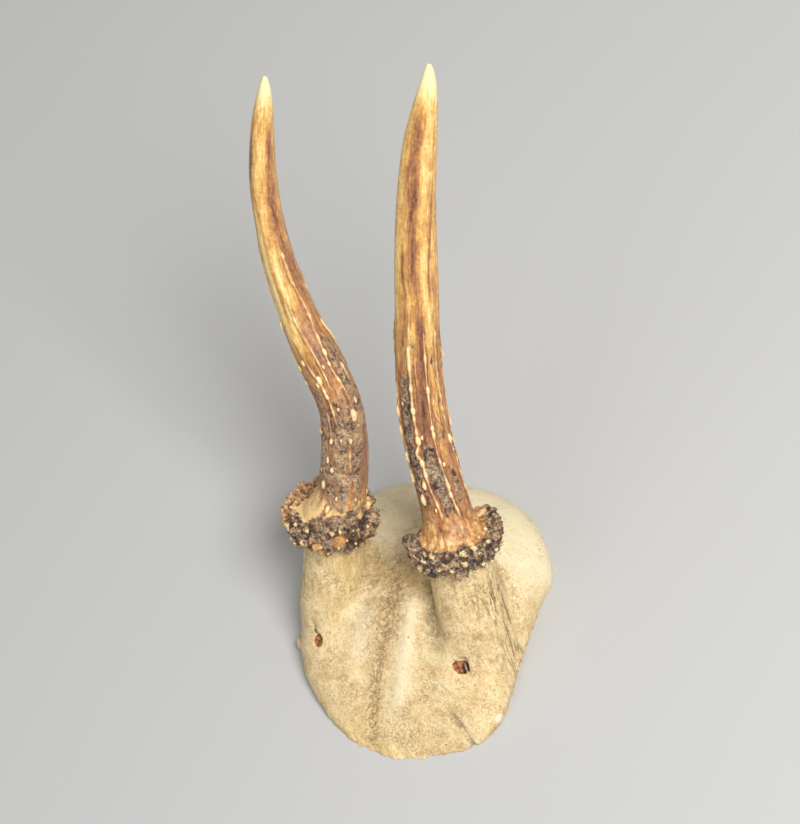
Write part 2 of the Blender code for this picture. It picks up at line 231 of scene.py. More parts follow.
# Burrs, and how far each has sunk down its pedicle
BURR_SINK = {1: 1.8, -1: 0.7}
COLLAR_RADII = (11.3, 11.3, 4.5)
BURR_RINGS = ((-2.3, 10.4), (-0.9, 10.9), (0.8, 10.8), (2.4, 9.8))
RING_LUMPS = 27
# Pearls, broken facets and pits on the burrs: degrees, height and radius
LEFT["burr_pearls"] = (
    (308, 2.7, 0.95), (307, 0.6, 0.8), (324, 3.2, 0.9), (342, 4.2, 0.6), (289, -0.8, 0.6),
    (274, -0.2, 0.5), (5, 4.6, 0.6), (251, 3.0, 0.6), (253, 1.6, 0.65), (330, 1.6, 0.5),
    (350, 2.8, 0.6), (265, 2.6, 0.45),
)
RIGHT["burr_pearls"] = (
    (298, 3.0, 0.7), (308, 3.2, 0.55), (262, 2.9, 0.6), (268, 1.5, 0.4), (352, 2.1, 0.45),
    (222, 1.3, 0.75), (230, 0.9, 0.6), (238, 2.8, 0.55), (215, 0.6, 0.5),
)
RIGHT["facets"] = ((307, 1.3, 1.6), (278, -1.3, 1.6))
RIGHT["pits"] = ((324, 1.0, 1.7), (336, -0.2, 1.5))
LEFT["facets"] = LEFT["pits"] = ()
# Fingers, the knobs on the crown: degrees, height, distance from the axis and radius
LEFT["fingers"] = (
    (72, 4.2, 9.6, 1.1), (60, 4.8, 10.4, 1.2), (49, 4.6, 11, 1.1), (38, 4.0, 11.1, 1.2),
    (27, 3.4, 11.3, 1.1), (16, 3.0, 11.3, 1.3), (4, 2.6, 11.1, 1.1), (200, 2.6, 10.4, 1.7),
    (213, 3.4, 10.2, 2.1), (226, 2.4, 10.4, 1.7),
)
RIGHT["fingers"] = (
    (207, 0.2, 11.6, 0.95), (198, 1.0, 11.9, 0.85), (189, 1.7, 12.3, 0.9), (180, 2.4, 12.0, 0.8),
    (171, 2.9, 12.5, 0.95), (161, 3.4, 12.1, 0.8), (152, 4.0, 12.7, 1.0), (142, 4.2, 11.7, 0.8),
    (132, 4.8, 11.9, 0.85), (122, 4.9, 11.2, 0.75), (112, 5.2, 11.0, 0.7), (66, 4.8, 10.2, 0.8),
    (56, 4.6, 10.7, 0.75), (46, 4.2, 10.4, 0.8), (36, 4.0, 10.7, 0.75), (22, 2.2, 10.2, 1.7),
    (8, 1.8, 10.6, 1.9), (354, 1.2, 10.6, 1.6),
)

LEFT["tan_fingers"] = ()
RIGHT["tan_fingers"] = [finger for finger in RIGHT["fingers"] if 100 < finger[0] < 215]

CAP_VOXEL, CAP_SMOOTHING = 0.76, 30
ANTLER_VOXEL = 0.27
SEED = 7


def smooth_course(points, steps, closed=False):
    """Catmull-Rom curve through points, with so many steps from one to the next."""
    points = np.array(points, float)
    if closed:
        padded = np.vstack((points[-1], points, points[:2]))
    else:
        padded = np.vstack((2 * points[0] - points[1], points, 2 * points[-1] - points[-2]))
    curve = []
    for a, b, c, d in zip(padded, padded[1:], padded[2:], padded[3:]):
        for step in range(steps):
            t = step / steps
            bend = (2 * a - 5 * b + 4 * c - d) * t**2 + (3 * b - a - 3 * c + d) * t**3
            curve.append(b + 0.5 * ((c - a) * t + bend))
    if not closed:
        curve.append(points[-1])
    return np.array(curve)


def smoothstep(values, low, high):
    share = np.clip((values - low) / (high - low), 0, 1)
    return share * share * (3 - 2 * share)


def hill(distance, width):
    return np.exp(-((distance / width) ** 2))


def follow(values, course):
    """The second coordinate of a course where the first has the given values."""
    return np.interp(values, *np.transpose(course))


def lumpy(points, size, octaves=3):
    """Fractal noise of about -1 to 1, whose main lumps have the given size."""
    return np.array([noise.fractal(Vector(p) / size, 0.8, 2, octaves) for p in points])


def grains(points, size):
    """Packed round grains: 1 in the middle of each, 0 between them."""
    near = np.array([noise.voronoi(Vector(p) / size)[0][0] for p in points])
    return 1 - np.clip(near / 0.75, 0, 1) ** 2


def mirrored(point, side):
    return np.array((point[0] * side, point[1], point[2]))


def unit(vector):
    return vector / np.linalg.norm(vector)


def across(axis, way):
    """Unit vectors at right angles to the axis: the part of way that is, and the third."""
    first = unit(way - axis * (way @ axis))
    return first, np.cross(axis, first)


def pedicle_axis(side):
    return unit(mirrored(BURR_CENTRE - PEDICLE_FOOT, side))


def pedicle_frame(side):
    """The axis, and unit vectors at right angles to it from which degrees are counted."""
    axis = pedicle_axis(side)
    return axis, *across(axis, np.array((1, 0, 0)))


def turned_to(axis):
    return Vector(axis).to_track_quat("Z", "Y").to_matrix().to_4x4()


def add_loft(bm, rings):
    """Skins a row of rings with equal numbers of points, and caps both ends."""
    rows = [[bm.verts.new(point) for point in ring] for ring in rings]
    for low, high in zip(rows, rows[1:]):
        for k in range(len(low)):
            bm.faces.new((low[k - 1], low[k], high[k], high[k - 1]))
    bm.faces.new(rows[0][::-1])
    bm.faces.new(rows[-1])


def add_ball(bm, centre, radii, turn=Matrix(), fineness=3):
    place = Matrix.Translation(centre) @ turn @ Matrix.Diagonal((*radii, 1))
    return bmesh.ops.create_icosphere(bm, subdivisions=fineness, radius=1, matrix=place)["verts"]


def object_from(bm, name):
    bmesh.ops.recalc_face_normals(bm, faces=bm.faces)
    mesh = bpy.data.meshes.new(name)
    bm.to_mesh(mesh)
    bm.free()
    made = bpy.data.objects.new(name, mesh)
    bpy.context.scene.collection.objects.link(made)
    return made


def settle(piece):
    """Puts the evaluated mesh in place of the modifiers."""
    seen = piece.evaluated_get(bpy.context.evaluated_depsgraph_get())
    piece.data = bpy.data.meshes.new_from_object(seen)
    piece.modifiers.clear()


def melt(piece, voxel, smoothing, fineness=0):
    """Melts the overlapping bodies of a piece into one skin, smooths it and subdivides it."""
    remesh = piece.modifiers.new("melt", "REMESH")
    remesh.mode = "VOXEL"
    remesh.voxel_size = voxel
    smooth = piece.modifiers.new("soften", "SMOOTH")
    smooth.factor = 0.5
    smooth.iterations = smoothing
    if fineness:
        divide = piece.modifiers.new("refine", "SUBSURF")
        divide.levels = divide.render_levels = fineness
    settle(piece)


def cut(piece, cutters):
    for cutter in cutters:
        boolean = piece.modifiers.new(cutter.name, "BOOLEAN")
        boolean.operation = "DIFFERENCE"
        boolean.solver = "MANIFOLD"
        boolean.object = cutter
    settle(piece)
    for cutter in cutters:
        bpy.data.objects.remove(cutter)


def read(mesh, what, collection="vertices"):
    items = getattr(mesh, collection)
    values = np.empty(len(items) * 3, np.float32)
    items.foreach_get(what, values)
    return values.reshape(-1, 3).astype(float)


def push(piece, amount):
    """Moves each vertex so far along its normal."""
    mesh = piece.data
    points = read(mesh, "co") + read(mesh, "vector", "vertex_normals") * amount[:, None]
    mesh.vertices.foreach_set("co", points.astype(np.float32).ravel())
    mesh.update()


def paint(mesh, **layers):
    for name, values in layers.items():
        kind, what = ("FLOAT_VECTOR", "vector") if values.ndim == 2 else ("FLOAT", "value")
        layer = mesh.attributes.new(name, kind, "POINT")
        layer.data.foreach_set(what, values.astype(np.float32).ravel())


def finished(piece, node, material):
    """Moves a piece to the frame, in metres, in the place of its CAD node."""
    mesh = piece.data
    points = (read(mesh, "co") - FRAME_ZERO) * MM
    mesh.vertices.foreach_set("co", points.astype(np.float32).ravel())
    mesh.shade_smooth()
    mesh.update()
    mesh.materials.clear()
    mesh.materials.append(material)
    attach(piece, "root")
    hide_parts(node)


def rim_reach():
    """Gives a function from the angle about the rim's centre to the rim's distance from it."""
    outline = smooth_course(RIM, 6, closed=True) - RIM_CENTRE
    angles = np.arctan2(outline[:, 1], outline[:, 0])
    reaches = np.hypot(outline[:, 0], outline[:, 1])
    return lambda angle: np.interp(angle, angles, reaches, period=2 * math.pi)


def roof_level(y):
    """Height of the bone along the midline: the forehead's slope, then the level roof."""
    forehead = (y - FOREHEAD_START) * math.tan(FOREHEAD_SLOPE)
    low = np.exp(-forehead / ROOF_BLEND) + math.exp(-ROOF_HEIGHT / ROOF_BLEND)
    return -ROOF_BLEND * np.log(low)


def roof(share, angle, y):
    """Height of the outer bone, at a share of the way from the rim's centre to the rim."""
    rearward = np.sin(angle)
    edge = np.exp(
        math.log(SIDE_EDGE)
        + math.log(REAR_EDGE / FRONT_EDGE) / 2 * rearward
        + math.log(REAR_EDGE * FRONT_EDGE / SIDE_EDGE**2) / 2 * rearward**2
    )
    return np.maximum(roof_level(y), 0) * np.sqrt(np.maximum(0, 1 - share**edge))


def add_cap_form(bm):
    """A ball pressed into the outline of the cut, with the roof above and a skirt below."""
    reach = rim_reach()
    ball = bmesh.ops.create_uvsphere(bm, u_segments=90, v_segments=44, radius=1)
    for vert in ball["verts"]:
        share = min(1, math.hypot(vert.co.x, vert.co.y))
        angle = math.atan2(vert.co.y, vert.co.x)
        x = RIM_CENTRE[0] + share * reach(angle) * math.cos(angle)
        y = RIM_CENTRE[1] + share * reach(angle) * math.sin(angle)
        z = roof(share, angle, y) if vert.co.z > 0 else vert.co.z * SKIRT
        vert.co = (x, y, z)


def add_pedicle(bm, side):
    axis, first, second = pedicle_frame(side)
    breadth, aside = PEDICLE_BUILDS[side]
    root = mirrored(PEDICLE_FOOT, side) - axis * PEDICLE_ROOT + np.array((aside, 0, 0))
    length = np.linalg.norm(mirrored(BURR_CENTRE, side) - root)
    turns = np.linspace(0, math.tau, 32, endpoint=False)
    ways = [first * math.cos(a) + second * math.sin(a) for a in turns]
    rings = []
    for share, radius in smooth_course(PEDICLE_RADII, 3):
        radius *= 1 + (breadth - 1) * min(1, 2 * share)
        rings.append([root + axis * length * share + way * radius for way in ways])
    add_loft(bm, rings)


def seam_slab(side):
    """A slab that cuts the pedicle off half a gap below the seam under its burr."""
    axis = pedicle_axis(side)
    size = (46, 46, 24)
    lift = -GAP / 2 - SEAM_DROP + size[2] / 2
    place = Matrix.Translation(mirrored(BURR_CENTRE, side) + axis * lift)
    bm = bmesh.new()
    bmesh.ops.create_cube(bm, size=1, matrix=place @ turned_to(axis) @ Matrix.Diagonal((*size, 1)))
    return object_from(bm, f"seam_{side}")


def midline_x(y):
    course = smooth_course(MIDLINE, 8)
    return np.interp(y, course[:, 1], course[:, 0])


def pedicle_places(points, side):
    """Distance of points from the pedicle's axis, and their height along it from its foot."""
    axis = pedicle_axis(side)
    away = points - mirrored(PEDICLE_FOOT, side)
    along = away @ axis
    return np.linalg.norm(away - along[:, None] * axis, axis=1), along


def cap_marks(points):
    """The features of the bone, each as a share from 0 to 1 at every point."""
    x, y, z = points.T
    marks = {}
    zigzag = 0.55 * np.sin(2.3 * y) + 0.35 * np.sin(5.9 * y + 1) + 0.5 * lumpy(points, 3)
    on_roof = smoothstep(z, -0.2, 1.5) * (z < 18)
    off_line = np.abs(x - midline_x(y) - zigzag)
    marks["suture"] = hill(off_line, 0.45) * on_roof
    marks["suture_band"] = hill(x - midline_x(y) + 0.3, 2.3) * on_roof * smoothstep(y, 46, 36)
    marks["crease"] = np.zeros(len(points))
    marks["medial"] = np.zeros(len(points))
    marks["shaft"] = np.zeros(len(points))
    for side in (1, -1):
        reach, along = pedicle_places(points, side)
        ring = hill(z - roof_level(y), 3.5) * hill(reach - 9.6, 2.6)
        inward = smoothstep(-(x * side - PEDICLE_FOOT[0]), 2, 9) * (1 if side > 0 else 0.5)
        marks["crease"] = np.maximum(marks["crease"], ring * (0.25 + 0.75 * inward))
        marks["medial"] = np.maximum(marks["medial"], ring * inward)
        marks["shaft"] = np.maximum(marks["shaft"], smoothstep(along, -2, 5) * (reach < 12))
    rugose = smoothstep(np.abs(x + 3), 9, 4) * smoothstep(y, 22, 30) * smoothstep(y, 52, 44)
    marks["rugose"] = rugose * on_roof
    bumps = lumpy(points, 1.3)
    marks["wrinkles"] = marks["rugose"] * bumps
    marks["low_wrinkles"] = marks["rugose"] * smoothstep(-bumps, -0.05, 0.35)
    band = hill(x - follow(y, SWELLING), 2.4)
    marks["band"] = band * smoothstep(y, 6, 16) * smoothstep(y, 40, 32) * on_roof

    ragged = 0.22 * lumpy(points, 1.4, 2)
    on_slope = (z > 5) & (z < 18)
    for name, middle, reach in (
        ("left_foramen", LEFT_FORAMEN, (2.2, 1.8)),
        ("right_foramen", RIGHT_FORAMEN, (1.3, 1.6)),
    ):
        away = np.hypot((x - middle[0]) / reach[0], (y - middle[1]) / reach[1]) + ragged
        marks[name] = smoothstep(away, 1.15, 0.75) * on_slope
    # Painted shade: the foramen's slits and the groove beside it are painted near black, as
    # openings in shadow
    along = (x - SLITS[0]) * SLIT_WAY[0] + (y - SLITS[1]) * SLIT_WAY[1]
    aside = (y - SLITS[1]) * SLIT_WAY[0] - (x - SLITS[0]) * SLIT_WAY[1]
    shaded_slits = hill(aside + 0.35, 0.42) + hill(aside - 0.85, 0.42)
    shaded_slits = np.clip(shaded_slits, 0, 1) * hill(along, 1.7)
    groove = 0.7 * hill(x - follow(y, GROOVE), 0.4) * hill(y - 24.4, 1.4)
    marks["shaded_slits"] = np.maximum(shaded_slits, groove) * on_slope
    marks["sliver"] = hill(aside - 0.25, 0.28) * hill(along, 1.8) * on_slope
    near = np.hypot((x + 21.3) * 1.6, (y - 25.2) * 0.7)
    marks["vessel"] = hill(near, 1.5) * (z > 8) * (z < 18)

    behind = y - follow(z, TEMPLE_RIDGE)
    flank = smoothstep(np.abs(x), 22, 25) * smoothstep(z, 26, 21)
    marks["ridge"] = hill(behind + 0.6, 0.8) * flank
    marks["fossa"] = hill(behind - 2.2, 1.7) * flank * smoothstep(z, 2, 8)
    marks["edge"] = hill(behind - 0.5, 0.5) * flank
    marks["streaky"] = smoothstep(behind, 0.3, -0.4) * hill(behind, 9) * flank

    notch = hill(y - follow(x, NOTCH), 1.0) * smoothstep(x, 16.5, 19.5)
    marks["notch"] = notch * smoothstep(x, 28, 25) * (z > -1)
    marks["knob"] = smoothstep(np.linalg.norm(points - KNOB, axis=1), 2.6, 1.1)
    # A pale broken chip, and a painted highlight along the notch's edge
    share = np.clip((x - SHINE_START[0]) / SHINE_RUN[0], 0, 1)[:, None]
    shine = hill(np.linalg.norm(points - (SHINE_START + share * SHINE_RUN), axis=1), 0.45)
    chip_and_glint = np.maximum(hill(np.linalg.norm(points - CHIP, axis=1), 1.3), shine)
    marks["chip_and_glint"] = np.clip(chip_and_glint + ragged * (chip_and_glint > 0.05), 0, 1)
    _, along = pedicle_places(points, -1)
    bent = along + 0.35 * lumpy(points, 4, 2) + 0.12 * (x + 25)
    marks["crack"] = hill(bent - 12.4, 0.22) * smoothstep(x, -17, -19) * (z > 20)
    return marks


def sculpt_cap(cap):
    points = read(cap.data, "co")
    y, z = points[:, 1], points[:, 2]
    marks = cap_marks(points)
    amount = 0.28 * lumpy(points, 13, 2) + 0.1 * lumpy(points, 3.5)
    amount -= 0.3 * marks["suture"] * smoothstep(y, 62, 40)
    for name, height in CAP_RELIEF.items():
        amount += height * marks[name]
    edge = 0.3 * lumpy(points, 1.7) - 0.3 - 0.7 * np.maximum(lumpy(points, 2.6, 2) - 0.15, 0)
    amount += hill(z, 1.6) * edge
    amount += 0.05 * marks["shaft"] * lumpy(points, 0.9)
    push(cap, amount)


def hollow(name, centre, radii, folds):
    """The form of a hollow under the cap, with the low folds of its wall."""
    bm = bmesh.new()
    add_ball(bm, centre, radii, fineness=6)
    made = object_from(bm, name)
    points = read(made.data, "co")
    depth = folds * np.abs(lumpy(points, 6, 2)) + 0.12 * lumpy(points, 1.8)
    push(made, -np.maximum(depth, 0))
    return made


def cap_cutters():
    bm = bmesh.new()
    place = Matrix.Translation((0, RIM_CENTRE[1], -10)) @ Matrix.Diagonal((100, 100, 20, 1))
    bmesh.ops.create_cube(bm, size=1, matrix=place)
    cutters = [object_from(bm, "saw")]
    cutters += [seam_slab(side) for side in (1, -1)]
    cutters.append(hollow("braincase", *BRAINCASE, folds=0.7))
    for side in (1, -1):
        cutters.append(hollow(f"sinus_{side}", mirrored(SINUS[0], side), SINUS[1], folds=0.5))
    return cutters


def build_cap(material):
    bm = bmesh.new()
    add_cap_form(bm)
    for side in (1, -1):
        add_pedicle(bm, side)
    cap = object_from(bm, "skull_cap_bone")
    melt(cap, CAP_VOXEL, CAP_SMOOTHING, fineness=1)
    sculpt_cap(cap)
    cut(cap, cap_cutters())

    mesh = cap.data
    points = read(mesh, "co")
    x, y, z = points.T
    marks = cap_marks(points)
    brain_place = (points - BRAINCASE[0]) / BRAINCASE[1]
    inner = np.linalg.norm(brain_place, axis=1) < 1.01
    for side in (1, -1):
        place = (points - mirrored(SINUS[0], side)) / SINUS[1]
        inner |= np.linalg.norm(place, axis=1) < 1.02
    inner &= z < 12.5
    grain = points.copy()
    for side in (1, -1):
        reach, along = pedicle_places(points, side)
        here = (x * side > 0) & (reach < 14)
        grain[here] -= 0.85 * np.outer(along[here], pedicle_axis(side))
    off_shaft = 1 - marks["shaft"]
    # Paler bone at the back of the dome and beside the right pedicle, partly its own colour and
    # partly painted light; along the swelling beside the suture it is a painted highlight
    pale = marks["band"] + off_shaft * smoothstep(y, 42, 52)
    pale += 0.8 * hill(x + 8.5, 3.5) * hill(y - 28, 9) * off_shaft
    shade = 0.35 * off_shaft * smoothstep(x, 8, -6) * smoothstep(y, 40, 52)
    shade += 0.6 * hill(y, 9) * smoothstep(x, -6, -14)
    # Painted shade with some dirt: darker in the valley between the pedicles, the creases at their
    # feet, the grooves and notch and along the line behind the temple ridge
    dirt = marks["medial"] * np.where(x > 0, 1, 0.35)
    for name, share in CAP_DIRT_AND_SHADE.items():
        dirt += share * marks[name]
    yellow = hill(np.hypot((x + 7.7) / 1.6, y - 3.3), 4)
    yellow += 0.7 * hill(np.hypot((x - 2.7) / 2, y - 0.9), 3)
    yellow += hill(x + 12.5, 2) * smoothstep(z, 16, 20)
    paint(
        mesh,
        **{name: marks[name] for name in ("suture", "chip_and_glint", "streaky", "shaft", "shaded_slits", "sliver")},
        grain=grain,
        suture_band=np.clip(marks["suture_band"] + 0.3 * marks["rugose"], 0, 1),
        dirt=np.clip(dirt, 0, 1),
        pale=np.clip(pale, 0, 1),
        shade=np.clip(shade, 0, 1),
        yellow=np.clip(yellow, 0, 1) * (z > -0.5),
        tissue=np.clip(marks["left_foramen"] + marks["right_foramen"], 0, 1),
        inner=inner.astype(float),
    )
    finished(cap, "skull_cap", material)
    level = read(mesh, "normal", "polygons")[:, 2] < -0.999
    level &= read(mesh, "center", "polygons")[:, 2] < 0.01 * MM
    mesh.polygons.foreach_set("use_smooth", ~level)


class Beam:
    """The middle line of one antler's shaft, and the places of points around it."""

    def __init__(self, side, course, depth):
        self.side, self.depth = side, depth
        rows = smooth_course(course, 24)
        self.height, aside, self.half = rows.T
        share = self.height / BOW_SPAN
        y = BURR_CENTRE[1] + self.height / math.tan(LEAN) + BOW * 4 * share * (1 - share)
        self.centre = np.stack((aside * side, y, BURR_CENTRE[2] + self.height), 1)
        ahead = np.gradient(self.centre, axis=0)
        self.ahead = ahead / np.linalg.norm(ahead, axis=1)[:, None]
        frames = [across(axis, BROAD_WAY) for axis in self.ahead]
        self.wide = np.array([wide for wide, _ in frames])
        self.deep = np.array([deep for _, deep in frames])
        self.tree = kdtree.KDTree(len(self.centre))
        for k, point in enumerate(self.centre):
            self.tree.insert(point, k)
        self.tree.balance()

    def add_shaft(self, bm, sides=96):
        rings = []
        for k in range(0, len(self.centre), 2):
            ring = []
            for a in np.linspace(0, math.tau, sides, endpoint=False):
                out = self.wide[k] * math.cos(a) + self.deep[k] * self.depth * math.sin(a)
                ring.append(self.centre[k] + out * self.half[k])
            rings.append(ring)
        add_loft(bm, rings)

    def locate(self, points):
        """Height over the burr, degrees around the beam and half breadth there, of each point."""
        near = np.array([self.tree.find(point)[1] for point in points])
        away = points - self.centre[near]
        wide = np.einsum("ij,ij->i", away, self.wide[near])
        deep = np.einsum("ij,ij->i", away, self.deep[near]) / self.depth
        beyond = np.einsum("ij,ij->i", away, self.ahead[near])
        height = self.height[near] + beyond * self.ahead[near][:, 2]
        return height, np.degrees(np.arctan2(deep, wide)) % 360, self.half[near]


def course_share(place, course, width, fade=3):
    """How near each point is to a line along the beam: 1 on the line, fading at its ends."""
    height, degrees, half = place
    heights, turns = np.array(course, float).T
    unwound = np.unwrap(turns, period=360)
    heights, turns = smooth_course(np.stack((heights, unwound), 1), 4)[::-1].T
    turn = np.interp(height, heights, turns)
    aside = (degrees - turn + 180) % 360 - 180
    ends = smoothstep(height, heights[0] - fade / 3, heights[0] + fade)
    ends *= smoothstep(height, heights[-1] + fade / 3, heights[-1] - fade)
    return hill(np.radians(aside) * half, width) * ends


def burr_middle(side):
    return mirrored(BURR_CENTRE, side) - pedicle_axis(side) * BURR_SINK[side]


def burr_places(points, side):
    """Height over the burr's middle, distance from its axis and degrees around it."""
    axis, first, second = pedicle_frame(side)
    away = points - burr_middle(side)
    lift = away @ axis
    turn = np.degrees(np.arctan2(away @ second, away @ first)) % 360
    return lift, np.linalg.norm(away - lift[:, None] * axis, axis=1), turn


def burr_point(side, degrees, lift, reach):
    axis, first, second = pedicle_frame(side)
    a = math.radians(degrees)
    return burr_middle(side) + axis * lift + (first * math.cos(a) + second * math.sin(a)) * reach


def add_burr(bm, side, fingers, set_pearls, rng):
    """Collar, rings of lumps and fingers. Returns the places and radii of the small pearls."""
    axis = pedicle_axis(side)
    add_ball(bm, burr_middle(side), COLLAR_RADII, turned_to(axis), fineness=4)
    for row, (lift, reach) in enumerate(BURR_RINGS):
        for k in range(RING_LUMPS):
            degrees = (k + 0.5 * row + rng.uniform(-0.35, 0.35)) * 360 / RING_LUMPS
            place = (lift + rng.uniform(-0.5, 0.5), reach + rng.uniform(-0.6, 0.5))
            size = rng.uniform(0.6, 1.15)
            radii = (size, size, size * rng.uniform(0.7, 1.2))
            add_ball(bm, burr_point(side, degrees, *place), radii)
    for degrees, lift, reach, size in fingers:
        steps = 7
        for step in range(steps):
            share = step / (steps - 1)
            out = reach - 3.4 * (1 - share)
            radius = size * (1.5 - 0.75 * share + 0.4 * share**4)
            spot = burr_point(side, degrees, lift - 1.4 * (1 - share), out)
            add_ball(bm, spot, (radius, radius, radius))
    loose = []
    for _ in range(400):
        loose.append((rng.uniform(0, 360), rng.uniform(-2.8, 3.8), 0.3 + 0.4 * rng.random() ** 1.5))
    pearls = []
    for degrees, lift, size in list(set_pearls) + loose:
        spot = burr_point(side, degrees, lift, 11.5 - 0.14 * lift**2 + rng.uniform(-0.2, 0.2))
        room = min((np.linalg.norm(spot - other) - radius for other, radius in pearls), default=9)
        if room > size + 1.7 or len(pearls) < len(set_pearls):
            add_ball(bm, spot, (size, size, size * rng.uniform(1, 1.4)), fineness=2)
            pearls.append((spot, size * 1.15))
    return pearls


def bead_row(height, seed):
    """How swollen a crest is at each height, from 0 to 1."""
    table = np.arange(-10, 110, 0.1)
    line = np.stack((table / 2.6, np.full(len(table), seed), table * 0), 1)
    return np.interp(height, table, np.clip(0.45 + 0.9 * lumpy(line, 1, 2), 0, 1) ** 2)


def beam_marks(beam, points, design, burr_pearls):
    """The features of an antler at every point, and how far they raise it."""
    place = beam.locate(points)
    height, degrees, half = place
    lift, reach, turn = burr_places(points, beam.side)
    around = np.radians(degrees)
    grain = np.stack((np.cos(around) * half, np.sin(around) * half * beam.depth, height * 0.14), 1)
    rise = np.zeros(len(points))
    crest = np.zeros(len(points))
    foot = np.zeros(len(points))
    for k, (tall, width, course) in enumerate(design["crests"]):
        bead = bead_row(height, 3.7 * k)
        top = 0.35 + 0.65 * smoothstep(course[0][0] - height, 0, 9)
        near = course_share(place, course, width * 2.2) * top
        share = course_share(place, course, width * (0.5 + 0.75 * bead)) * (0.7 + 0.3 * bead) * top
        rise = np.maximum(rise, tall * (0.5 + 0.5 * bead) * share)
        crest = np.maximum(crest, share)
        foot = np.maximum(foot, near)
    pearl = np.zeros(len(points))
    for at, turned, radius in design["pearls"]:
        aside = np.radians((degrees - turned + 180) % 360 - 180) * half
        away = np.hypot(aside / radius, (height - at) / (1.45 * radius))
        rise = np.maximum(rise, radius * 0.95 * np.sqrt(np.clip(1 - away**2, 0, 1)))
        pearl = np.maximum(pearl, smoothstep(away, 1.1, 0.7))
        foot = np.maximum(foot, smoothstep(away, 2.1, 1.2))
    for spot, radius in burr_pearls:
        away = np.linalg.norm(points - spot, axis=1) / radius
        pearl = np.maximum(pearl, smoothstep(away, 1.12, 0.9))
    long_noise = lumpy(grain, 1.6, 4)
    patch = lumpy(points, 4, 3)
    strips = np.zeros(len(points))
    for width, course in design["crusts"]:
        strips = np.maximum(strips, course_share(place, course, width, fade=2))
    frontal = 0.5 - 0.5 * np.sin(np.radians(turn))
    inner_edge = 9.6 - 1.6 * frontal + 1.3 * patch + 0.5 * long_noise
    on_rim = smoothstep(reach, inner_edge - 0.6, inner_edge + 0.7) * smoothstep(lift, 8.5, 7)
    rough = 1.3 * strips + 0.45 * smoothstep(height, 30, 8) + 0.35 * patch + 0.7 * long_noise
    rough = smoothstep(rough, 0.3, 0.9) * smoothstep(height, 50, 34)
    flare = smoothstep(height + 2.5 * long_noise + 2 * patch, 9, 5)
    crust = np.clip(np.maximum(on_rim, rough * (1 - 0.75 * flare)), 0, 1)
    tone = follow(height, design["tones"])
    for strength, width, course in design["streaks"]:
        tone += strength * course_share(place, course, width, fade=5)
    tone += (0.14 * long_noise + 0.08 * patch) * smoothstep(height, 93, 84)
    return {
        "rise": rise * smoothstep(height, 1, 6),
        "crest": crest * smoothstep(height, 3, 6) * (reach < 11),
        "foot": foot * smoothstep(height, 2, 6) * (reach < 11),
        "pearl": pearl,
        "crust": crust,
        "on_rim": on_rim,
        "flare": flare * (1 - on_rim),
        "tone": np.clip(tone, 0, 1),
        "grain": grain,
        "height": height,
    }


def peaks(mesh, rounds):
    """How far each vertex stands out of its smoothed surroundings, in millimetres."""
    pairs = np.empty(len(mesh.edges) * 2, np.int32)
    mesh.edges.foreach_get("vertices", pairs)
    a, b = pairs.reshape(-1, 2).T
    points = read(mesh, "co")
    count = len(points)
    linked = np.bincount(a, minlength=count) + np.bincount(b, minlength=count)
    level = points
    for _ in range(rounds):
        sums = []
        for k in range(3):
            sums.append(np.bincount(a, level[b, k], count) + np.bincount(b, level[a, k], count))
        level = np.stack(sums, 1) / linked[:, None]
    return np.einsum("ij,ij->i", points - level, read(mesh, "vector", "vertex_normals"))


def random_crests(rng, start, end):
    """Crests for the side of the beam that the listed ones leave bare."""
    crests = []
    turn = start
    while turn < end:
        top = rng.uniform(34, 58)
        course = [(h, turn + rng.uniform(-6, 6)) for h in np.linspace(top, 6, 5)]
        crests.append((rng.uniform(0.5, 0.85), rng.uniform(0.4, 0.55), course))
        turn += rng.uniform(22, 34)
    return crests


def random_pearls(rng, count, start, end, largest):
    pearls = []
    for _ in range(count):
        height = 7 + 30 * rng.random() ** 1.3
        pearls.append((height, rng.uniform(start, end) % 360, rng.uniform(0.3, largest)))
    return pearls


